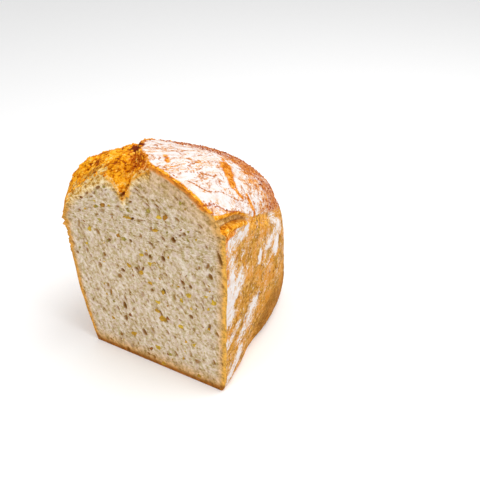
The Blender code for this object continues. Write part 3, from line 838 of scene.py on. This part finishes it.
# Runs a Geometry Nodes tree on an object and keeps the result as a plain mesh
def applyTree(thing, tree, values):
    modifier = thing.modifiers.new(tree.name, "NODES")
    modifier.node_group = tree
    for item in tree.interface.items_tree:
        if item.item_type == "SOCKET" and item.in_out == "INPUT" and item.name in values:
            modifier[item.identifier] = values[item.name]
    seen = thing.evaluated_get(bpy.context.evaluated_depsgraph_get())
    mesh = bpy.data.meshes.new_from_object(seen)
    thing.modifiers.remove(modifier)
    thing.data = mesh


# How strong the marks of the crust are in their zones, 0 to 1; above 1 a colour covers its whole zone
zoneStrength = {
    "slabFlour": 0.72, "thickFlour": 0.5, "farFlour": 0.16,
    "cutGold": 0.9, "shelfGold": 0.48,
    "edgeBare": 0.55, "rimBare": 0.42,
    "skylineRust": 0.58, "rightRust": 0.1, "slabRust": 0.5, "rimRust": 0.72,
    "tan": 0.56, "lipCream": 0.66, "ridgeCream": 0.9, "borderCream": 0.55,
    # strength of the painted shade low on the far end of the wall
    "low": 0.5,
    # strengths of the painted shadow under the side tear and of the painted shade in pits
    "tearShadowLine": 0.5, "pit": 0.8,
}


# Marks that steer relief and colour, one value for each point; points and edge in millimetres
def surfaceMarks(points, isCut, edge):
    x, y, z = points.T
    strong = zoneStrength
    above = aboveBorder(x, z)
    slabEdge = x - slabLine(y)
    aboveRim = z - rimLine(y)
    over, below = besideTear(y, z)
    rightWall = smooth(x, 20.0, 34.0)
    nearTear = fade(y, 16.0, 27.0) * rightWall

    # golden torn side of the top, and the lip that rolls into the cut
    tornTop = fade(slabEdge, 0.4, 2.4) * smooth(z, 74.0, 100.0) * smooth(x, -56.0, -50.0)
    torn = np.where(isCut, smooth(above, -4.0, -2.0), tornTop)
    torn = np.maximum(torn, smooth(above, -2.0, 0.0) * fade(y, 1.0, 3.0))

    # painted shade low on the far end of the wall, where it turns away from the light; flour on the slab, thickest at
    # its front, and in patches on the wall
    low = strong["low"] * smooth(y, 34.0, 52.0) * fade(z, 22.0, 46.0)
    thick = bell(lineDistance(points, crustMarks["thickFlour"]), 0.0, 5.0)
    farther = smooth(y, 34.0, 50.0) * rightWall
    flour = strong["slabFlour"] + strong["thickFlour"] * thick - strong["farFlour"] * farther
    flour = flour * smooth(slabEdge, 1.4, 3.2) * smooth(aboveRim, -1.2, 0.4) * smooth(x, -14.0, -8.0)
    flour = flour * (1.0 - torn) * (1.0 - 0.4 * smooth(y, 40.0, 58.0))
    for width, strength, line in crustMarks["flour"]:
        flour = np.maximum(flour, strength * fade(lineDistance(points, line), 0.0, 3.2 * width))
    # less flour where the shade is painted
    flour = flour - 0.8 * low

    # cracks through the flour, bare crust, a painted shadow line under the side tear and painted shade in pits
    crack = np.full_like(x, 9.0)
    for line in crustMarks["cracks"]:
        crack = np.minimum(crack, lineDistance(points, line))
    roll = 1.9 + 4.0 * fade(y, 5.0, 13.0)
    onRoll = smooth(over, 0.5, 1.5) * fade(over, roll - 1.0, roll) * fade(y, 8.0, 13.0)
    bare = np.maximum(strong["edgeBare"] * fade(lineDistance(points, crustMarks["edgeBare"]), 0.8, 2.8),
                      strong["rimBare"] * nearTear * onRoll)
    bare = np.maximum(bare, nearTear * smooth(below, 0.4, 1.0) * fade(below, 4.0, 7.5) * fade(y, 6.0, 15.0))
    for width, line in crustMarks["bare"]:
        bare = np.maximum(bare, fade(lineDistance(points, line), 0.25 * width, 1.5 * width))
    # painted shadow along the lower edge of the side tear, and painted shade in the pits of the wall
    tearShadowAndPitShade = strong["tearShadowLine"] * nearTear * bell(below, -0.3, 0.4) * smooth(y, 1.0, 4.0)
    for pit in crustMarks["pits"]:
        tearShadowAndPitShade = np.maximum(tearShadowAndPitShade, strong["pit"] * fade(np.linalg.norm(points - np.array(pit), axis=1), 0.5, 1.5))

    # gold along the cut, round the side tear and on the shelf beyond it
    gold = strong["cutGold"] * fade(y, 0.8, 3.4) * smooth(slabEdge, -1.0, 1.0) * smooth(aboveRim, -1.0, 1.0)
    gold = np.maximum(gold, nearTear * fade(np.abs(over - 0.8), 0.8, 1.7))
    gold = np.maximum(gold, nearTear * fade(np.abs(below - 1.1), 1.0, 2.0))
    shelf = smooth(aboveRim, -14.0, -5.0) * fade(aboveRim, -3.0, 2.0) * smooth(y, 18.0, 28.0) * fade(y, 50.0, 74.0)
    gold = np.maximum(gold, strong["shelfGold"] * shelf * rightWall)

    # rust red on the skyline, along the slab's edge and on the rolled rim
    skyline = 37.0 + 0.42 * np.maximum(x, 0.0)
    rust = strong["skylineRust"] - strong["rightRust"] * smooth(x, 4.0, 26.0)
    rust = rust * smooth(y, skyline - 5.0, skyline + 5.0) * smooth(aboveRim, -4.0, 3.0) * (1.0 - torn)
    atSlab = bell(slabEdge, 1.0, 2.6) * smooth(y, 14.0, 24.0) * smooth(z, 100.0, 110.0)
    rust = np.maximum(rust, strong["slabRust"] * atSlab)
    rust = np.maximum(rust, strong["rimRust"] * nearTear * bell(over, roll, 0.8) * fade(y, 14.0, 20.0))

    # torn zones: browned towards the skyline, tan and cream beside the cut
    far = 9.0 + 0.45 * (x + 50.0)
    depth = above + 0.9 * y
    leftSide = fade(x, -26.0, -19.0)
    browned = smooth(y, far - 4.0, far + 4.0) * (1.0 - 0.56 * smooth(y, far + 5.0, far + 18.0))
    tan = strong["tan"] * torn * leftSide * fade(depth, 8.0, 13.0) * smooth(x, -54.0, -47.0)
    cream = np.maximum(strong["lipCream"] * leftSide * bell(depth, 1.0, 2.6),
                       strong["ridgeCream"] * bell(lineDistance(points, crustMarks["ridgeCream"]), 0.0, 1.0))
    cream = np.maximum(cream, strong["borderCream"] * bell(depth, 0.0, 1.6))

    # relief fades out at the sharp borders of the cut and the base, but not on the torn lip
    hold = np.where(isCut, smooth(edge, 0.0, 0.9), smooth(y, 0.0, 1.4) * smooth(z, 0.0, 2.0))
    tornCut = smooth(above, -1.0, 1.0) * fade(y, 2.0, 4.0)
    slab = (1.0 - torn) * smooth(slabEdge, 0.0, 2.0) * smooth(aboveRim, -1.0, 1.0)
    return {
        "torn": torn, "tornRed": torn * np.maximum(browned, 0.85 * bell(slabEdge, -1.0, 7.0)), "tan": tan,
        "lipCream": torn * cream, "flour": flour, "crack": crack, "bare": bare, "rust": rust, "gold": gold, "low": low,
        "line": tearShadowAndPitShade, "char": fade(lineDistance(points, crustMarks["char"]), 1.8, 4.8),
        "inner": nearTear * smooth(-np.maximum(over, below), 0.0, 0.7),
        "slab": slab * (1.0 - 0.9 * thick * smooth(26.0 - y, 0.0, 6.0)),
        "hold": np.maximum(hold, tornCut), "hole": np.where(isCut, holeShare(x, z), 0.0),
        "crumb": np.where(isCut, 1.0, 0.0) * (1.0 - tornCut),
        "flakes": torn * smooth(above, 0.0, 2.0) * (1.0 - 0.5 * tan), "crumbs": rust * smooth(z, 60.0, 80.0),
        "clumps": np.clip(flour - 0.55, 0.0, 1.0) * smooth(y, 1.0, 3.0),
    }


edgeColours = {"left": "#c68c38", "right": "#d6a046", "base": "#8e5418", "slab": "#c8741a"}


# Crust seen edge-on round the cut face: how strong it is, its colour, and the tints of the crumb beside it
def cutEdgeMarks(x, z, edge):
    base = fade(z, 3.0, 7.0)
    right = smooth(x, 30.0, 38.0)
    slabSide = smooth(x, 6.0, 9.0) * smooth(z, 112.0, 116.0)
    tornSide = fade(x, 4.0, 9.0) * smooth(z, 90.0, 99.0)
    atTear = smooth(z, 101.0, 104.0) * fade(z, 114.0, 116.0) * smooth(x, 26.0, 32.0)
    width = 2.3 + 1.1 * base + 0.4 * right + 0.2 * slabSide
    band = fade(edge, 0.2 * width, 1.7 * width) * (1.0 - 0.9 * tornSide) * (1.0 - 0.85 * atTear)
    colour = np.outer(np.ones_like(x), linearColour(edgeColours["left"]))
    for share, name in ((right, "right"), (slabSide, "slab"), (base, "base")):
        colour = colour + share[:, None] * (np.array(linearColour(edgeColours[name])) - colour)
    high = smooth(z, 88.0, 108.0) * smooth(x, -8.0, 10.0)
    reach = 5.5 + 2.5 * right
    tint = (0.72 + 0.2 * right) * fade(edge, 0.1 * reach, reach) * (1.0 - 0.6 * tornSide)
    tint = np.maximum(tint, 0.42 * high * fade(edge, 2.0, 20.0))
    tint = np.maximum(tint, 0.72 * fade(z, 1.5, 13.0) + 0.1 * base)
    above = aboveBorder(x, z)
    notch = np.hypot(x + 8.0, z - 114.0)
    gold = np.maximum(0.8 * smooth(above, -5.0, 0.5) * smooth(x, -26.0, -14.0), 0.75 * fade(notch, 2.0, 7.0))
    return {"band": band, "tint": tint, "spill": 0.75 * smooth(above, -10.0, -1.0), "spillGold": gold}, colour


# The torn lip of the cut isn't sawn: above its border it rolls back into the torn top
def roundTornLip(points):
    x, y, z = points.T
    moved = points.copy()
    back = smooth(aboveBorder(x, z), -1.5, 7.0) * fade(x, 3.0, 9.0) * np.exp(-np.maximum(y, 0.0) / 7.0)
    moved[:, 1] = y + loafShape["lipRoll"] * back * smooth(z, 80.0, 92.0)
    return moved


# From millimetres about the middle of the cut to metres in the shared frame
def inFrame(points):
    return (np.array(points) + np.array([loafShape["placeX"], loafShape["placeY"], 0.0])) * mm


def storeMark(mesh, name, kind, field, values, domain="POINT"):
    numbers = np.ascontiguousarray(values.ravel(), dtype=bool if kind == "BOOLEAN" else np.float32)
    mesh.attributes.new(name, kind, domain).data.foreach_set(field, numbers)


def newObject(name, data):
    thing = bpy.data.objects.new(name, data)
    bpy.context.scene.collection.objects.link(thing)
    return thing


# Places at which the drawn-out patterns are read: steep pores low in the crumb and along the dome above; strands down
# the shoulder on the slab, slanting up the wall, along the tear on the torn top
def patternPlaces(points, torn):
    x, y, z = points.T
    high = smooth(z, 84.0, 104.0)
    roof = z + 0.55 * np.sqrt((x + 8.0) ** 2 + 36.0)
    grain = np.stack([(1.0 - high) * (x + 0.32 * z) + high * x / 2.0, y, (1.0 - high) * z / 2.1 + high * roof], axis=1)
    slope = smooth(x, 30.0, 46.0)
    flow = np.stack([(0.8 * y + 0.6 * x) / 3.0, (0.8 * x - 0.6 * y) * (1.0 - 0.3 * slope), z * 0.8], axis=1)
    onWall = fade(z - rimLine(y), -6.0, 0.0)[:, None]
    wallFlow = np.stack([x, 0.66 * y - 0.75 * z, (0.75 * y + 0.66 * z) / 1.9], axis=1)
    flow = flow * (1.0 - onWall) + wallFlow * onWall
    onTorn = smooth(torn, 0.3, 0.6)[:, None]
    tornFlow = points - 0.72 * np.outer(points @ np.array(tearWay), tearWay)
    return grain, flow * (1.0 - onTorn) + tornFlow * onTorn


def buildLoaf():
    steps, faces, cutLoop, baseLoop = crustGrid(skinFineness["across"], skinFineness["along"], skinFineness["up"])
    points = crustPlaces(steps)
    outline = points[cutLoop][:, [0, 2]]
    places, origins, triangles = cutLattice(outline, skinFineness["cutLattice"])
    crustCount = len(points)
    crustFaces = len(faces)
    names = []
    extra = []
    for place, origin in zip(places, origins):
        if 0 <= origin < len(cutLoop):
            names.append(cutLoop[origin])
        else:
            names.append(crustCount + len(extra))
            extra.append((place[0], 0.0, place[1]))
    points = np.concatenate([points, np.array(extra)])
    middle = len(points)
    baseMiddle = [points[baseLoop][:, 0].mean(), points[baseLoop][:, 1].mean(), 0.0]
    points = np.concatenate([points, [baseMiddle]])
    faces = faces + [[names[a], names[c], names[b]] for a, b, c in triangles]
    faces = faces + [[here, there, middle] for here, there in zip(baseLoop, baseLoop[1:] + baseLoop[:1])]

    isCut = np.zeros(len(points), dtype=bool)
    isCut[crustCount:middle] = True
    edge = np.zeros(len(points))
    edge[isCut] = outlineDistance(points[isCut][:, [0, 2]], outline)
    marks = surfaceMarks(points, isCut, edge)
    edgeMarks, bandColour = cutEdgeMarks(points[:, 0], points[:, 2], edge)
    marks.update(edgeMarks)
    cutFaces = np.zeros(len(faces), dtype=bool)
    for number in range(crustFaces, crustFaces + len(triangles)):
        x, z = points[faces[number]][:, [0, 2]].mean(axis=0)
        ragged = 3.0 * noise.noise(Vector((x / 2.6, z / 2.2, 1.7)))
        cutFaces[number] = aboveBorder(x, z) + ragged < 0.0
    points = roundTornLip(points)
    grain, flow = patternPlaces(points, marks["torn"])

    mesh = bpy.data.meshes.new("tin loaf half")
    mesh.from_pydata([tuple(point) for point in inFrame(points)], [], faces)
    for name, values in marks.items():
        storeMark(mesh, name, "FLOAT", "value", values)
    storeMark(mesh, "grain", "FLOAT_VECTOR", "vector", grain * mm)
    storeMark(mesh, "flow", "FLOAT_VECTOR", "vector", flow * mm)
    storeMark(mesh, "bandColour", "FLOAT_COLOR", "color", bandColour)
    storeMark(mesh, "cutFace", "BOOLEAN", "value", cutFaces, "FACE")
    mesh.shade_smooth()
    loaf = newObject("loafHalf", mesh)
    applyTree(loaf, reliefTree(crustFinish(), crumbFinish()), reliefSizes)
    loaf.data.set_sharp_from_angle(angle=math.radians(62.0))
    print("loaf half:", len(loaf.data.polygons), "faces")
    return loaf


# Realizes laid bits, makes them uneven by a noise with lumps of this size, and gives them their finish
def finishBits(tree, laid, size, ways, amount, finish):
    bits = addNode(tree, "GeometryNodeRealizeInstances", {}, {"Geometry": laid})
    rough = noiseNode(tree, addNode(tree, "GeometryNodeInputPosition"), size, 1.0).outputs["Color"]
    jolt = addNode(tree, "ShaderNodeVectorMath", {"operation": "SUBTRACT"}, {0: rough, 1: (0.5, 0.5, 0.5)})
    jolt = addNode(tree, "ShaderNodeVectorMath", {"operation": "MULTIPLY"}, {0: jolt, 1: ways})
    uneven = addNode(tree, "GeometryNodeSetPosition", {}, {"Geometry": bits, "Offset": scaledNode(tree, jolt, amount)})
    done = addNode(tree, "GeometryNodeSetMaterial", {}, {"Geometry": uneven, "Material": finish})
    addNode(tree, "NodeGroupOutput", {}, {"Geometry": done})


# Small bits strewn over the part of a surface that a mark allows: uneven little lumps, longest along the tear
def strewnTree(name, mark, finish, values):
    tree, start = newTree(name, values)
    seed = start["Seed"]
    density = mathNode(tree, "MULTIPLY", meshMark(tree, mark), start["Per square metre"])
    spots = addNode(tree, "GeometryNodeDistributePointsOnFaces", {"distribute_method": "RANDOM"},
                    {"Mesh": start["Geometry"], "Density": density, "Seed": seed})
    size = addNode(tree, "FunctionNodeRandomValue", {"data_type": "FLOAT"},
                   {2: start["Smallest"], 3: start["Largest"], "Seed": seed})
    alongTear = addNode(tree, "FunctionNodeAlignRotationToVector", {"axis": "X", "pivot_axis": "Z"},
                        {"Rotation": spots.outputs["Rotation"], "Vector": tearWay})
    turn = addNode(tree, "FunctionNodeRandomValue", {"data_type": "FLOAT_VECTOR"},
                   {0: (-0.5, -0.5, -0.6), 1: (0.5, 0.5, 0.6), "Seed": seed})
    facing = addNode(tree, "FunctionNodeRotateRotation", {"rotation_space": "LOCAL"},
                     {"Rotation": alongTear, "Rotate By": turn.outputs[0]})
    ball = addNode(tree, "GeometryNodeMeshIcoSphere", {}, {"Radius": 0.5, "Subdivisions": 1})
    form = addNode(tree, "ShaderNodeCombineXYZ", {}, {"X": 1.0, "Y": 0.55, "Z": start["Flatness"]})
    bit = addNode(tree, "GeometryNodeTransform", {}, {"Geometry": ball, "Scale": form})
    laid = addNode(tree, "GeometryNodeInstanceOnPoints", {}, {
        "Points": spots.outputs["Points"], "Instance": bit, "Rotation": facing, "Scale": size.outputs[1]})
    tone = addNode(tree, "FunctionNodeRandomValue", {"data_type": "FLOAT"}, {2: 0.0, 3: 1.0, "Seed": 5})
    toned = addNode(tree, "GeometryNodeStoreNamedAttribute", {"data_type": "FLOAT", "domain": "INSTANCE"},
                    {"Geometry": laid, "Name": "tone", "Value": tone.outputs[1]})
    finishBits(tree, toned, 1.0, (1.0, 1.0, 1.0), start["Unevenness"], finish)
    return tree


# Finish of the strewn bits, matt like the crust under them: each bit lighter or darker, with a fine grain
def bitFinish(name, stops):
    material, tree, shader = newMaterial(name, 0.85, 0.08)
    fine = noiseNode(tree, addNode(tree, "ShaderNodeTexCoord").outputs["Object"], 1.2)
    colour = rampNode(tree, mixNode(tree, 0.45, shaderMark(tree, "tone"), fine), stops)
    linkSurface(tree, shader, colour, fine, 0.5, 0.0003)
    return material


# What is strewn on the loaf: mark it follows, sizes in millimetres, colours from dark to light
strewn = {
    "tornFlakes": {
        "mark": "flakes", "each": 0.2, "smallest": 0.9, "largest": 2.8, "flatness": 0.4, "uneven": 1.1, "seed": 3,
        "colours": [(0.2, "#a04600"), (0.36, "#d88000"), (0.50, "#f0a016"), (0.66, "#f8b22c"), (0.85, "#fac85c")]},
    "rimCrumbs": {
        "mark": "crumbs", "each": 0.34, "smallest": 0.6, "largest": 1.7, "flatness": 0.7, "uneven": 0.8, "seed": 8,
        "colours": [(0.15, "#74280a"), (0.4, "#a8501c"), (0.6, "#cc7c38"), (0.85, "#f0d0b0")]},
    "flourClumps": {
        "mark": "clumps", "each": 0.22, "smallest": 0.5, "largest": 1.4, "flatness": 0.3, "uneven": 0.4, "seed": 12,
        "colours": [(0.2, "#e6cfc0"), (0.5, "#f3e9e2"), (0.8, "#f8f4f0")]},
}


def buildStrewn(loaf, name, facts):
    bits = newObject(name, loaf.data.copy())
    values = {
        "Per square metre": facts["each"] * 1.0e6, "Smallest": facts["smallest"] * mm, "Largest": facts["largest"] * mm,
        "Flatness": facts["flatness"], "Unevenness": facts["uneven"] * mm, "Seed": facts["seed"],
    }
    applyTree(bits, strewnTree(name, facts["mark"], bitFinish(name + " finish", facts["colours"]), values), values)
    print(name + ":", len(bits.data.polygons), "faces")
    return bits


fleckFacts = {    # sizes in millimetres
    "colours": {"straw": "#c6a02a", "amber": "#b4861a", "brass": "#98660f", "olive": "#9c8838", "toast": "#8a5216"},
    "small": 80,                  # how many small flecks are tried beside the named ones
    "behind": 0.15,               # middle of a fleck behind the cut face
    "thick": 0.9,
    "smallThick": 0.6,
    "unevenness": 3.2,
    "seed": 21,
}


# Finish of the flecks: smooth maize, yellow to brown, a little lighter and darker within each
def fleckFinish():
    material, tree, shader = newMaterial("maize fleck", 0.6, 0.2)
    fine = noiseNode(tree, addNode(tree, "ShaderNodeTexCoord").outputs["Object"], 1.4)
    light = rangeNode(tree, fine, 0.35, 0.7, 0.65, 1.3)
    tree.links.new(scaledNode(tree, shaderMark(tree, "fleckColour", "Color"), light), shader.inputs["Base Color"])
    return material


# Maize flecks in the crumb: flat rounded bits, each at its own mark on the cut face
def buildFlecks():
    facts = fleckFacts
    colours = facts["colours"]
    random = np.random.default_rng(facts["seed"])
    flecks = []
    for x, z, length, width, turn, name in crumbMarks["flecks"]:
        size = (1.05 * length, 0.95 * width, facts["thick"])
        flecks.append((x, z, size, math.radians(turn), name))
    for x, z in zip(random.uniform(-46.0, 42.0, facts["small"]), random.uniform(6.0, 104.0, facts["small"])):
        if abs(x) < 38.0 + 0.1 * z:
            size = (random.uniform(0.9, 2.4), random.uniform(0.8, 1.5), facts["smallThick"])
            flecks.append((x, z, size, random.uniform(0.0, 3.1), random.choice(list(colours))))
    mesh = bpy.data.meshes.new("fleck places")
    mesh.from_pydata([tuple(place) for place in inFrame([(f[0], facts["behind"], f[1]) for f in flecks])], [], [])
    storeMark(mesh, "size", "FLOAT_VECTOR", "vector", np.array([f[2] for f in flecks]) * mm)
    storeMark(mesh, "facing", "FLOAT_VECTOR", "vector", np.array([(math.pi / 2.0, -f[3], 0.0) for f in flecks]))
    storeMark(mesh, "fleckColour", "FLOAT_COLOR", "color", np.array([linearColour(colours[f[4]]) for f in flecks]))
    bits = newObject("maizeFlecks", mesh)

    values = {"Unevenness": facts["unevenness"] * mm}
    tree, start = newTree("fleck bits", values)
    ball = addNode(tree, "GeometryNodeMeshIcoSphere", {}, {"Radius": 0.5, "Subdivisions": 2})
    spots = addNode(tree, "GeometryNodeMeshToPoints", {}, {"Mesh": start["Geometry"]})
    laid = addNode(tree, "GeometryNodeInstanceOnPoints", {}, {
        "Points": spots, "Instance": ball, "Rotation": meshMark(tree, "facing", "FLOAT_VECTOR"),
        "Scale": meshMark(tree, "size", "FLOAT_VECTOR")})
    finishBits(tree, laid, 1.6, (1.0, 0.1, 1.0), start["Unevenness"], fleckFinish())
    applyTree(bits, tree, values)
    print("maize flecks:", len(bits.data.polygons), "faces")
    return bits


studio = {
    "floorHalf": 3.0,
    "worldLight": 0.68,
    "lamps": [                    # name, place in metres, size, watts
        ("top light", (0.3, 0.05, 0.8), 0.5, 4.4),
        ("front fill", (-0.35, -0.75, 0.4), 0.6, 1.5),
    ],
    "lampsLookAt": (0.0, 0.0, 0.06),
    "cameraAngle": 42.0,          # in degrees, as its turns are
    "cameraPlace": (0.17522, -0.26490, 0.26560),
    "cameraTurn": (56.3, 0.0, 28.8),
}


# Wide level floor, plain matt white so that it reads as the photo's white ground
def buildFloor():
    half = studio["floorHalf"]
    mesh = bpy.data.meshes.new("floor")
    mesh.from_pydata([(-half, -half, 0), (half, -half, 0), (half, half, 0), (-half, half, 0)], [], [(0, 1, 2, 3)])
    material, _, shader = newMaterial("plain pale floor", 0.6, 0.1)
    shader.inputs["Base Color"].default_value = linearColour("#ffffff")
    mesh.materials.append(material)
    floor = newObject("floor", mesh)


def buildStudio():
    world = bpy.data.worlds.new("soft studio")
    bpy.context.scene.world = world
    world.use_nodes = True
    background = world.node_tree.nodes["Background"]
    background.inputs["Color"].default_value = linearColour("#ffffff")
    background.inputs["Strength"].default_value = studio["worldLight"]
    bpy.context.scene.view_settings.view_transform = "Standard"
    for name, place, size, watts in studio["lamps"]:
        data = bpy.data.lights.new(name, "AREA")
        data.shape = "SQUARE"
        data.size = size
        data.energy = watts
        lamp = newObject(name, data)
        lamp.location = place
        lamp.rotation_euler = (Vector(studio["lampsLookAt"]) - Vector(place)).to_track_quat("-Z", "Y").to_euler()


def buildCamera():
    data = bpy.data.cameras.new("camera")
    data.sensor_fit = "HORIZONTAL"
    data.angle = math.radians(studio["cameraAngle"])
    data.clip_start = 0.01
    camera = newObject("camera", data)
    camera.location = studio["cameraPlace"]
    camera.rotation_euler = [math.radians(turn) for turn in studio["cameraTurn"]]
    bpy.context.scene.camera = camera


print("stage: loaf half")
loaf = buildLoaf()
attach(loaf, "root")
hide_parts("loaf")
print("stage: strewn bits")
for name, facts in strewn.items():
    bits = buildStrewn(loaf, name, facts)
    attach(bits, "root")
print("stage: maize flecks")
flecks = buildFlecks()
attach(flecks, "root")
print("stage: floor, light and camera")
buildFloor()
buildStudio()
buildCamera()
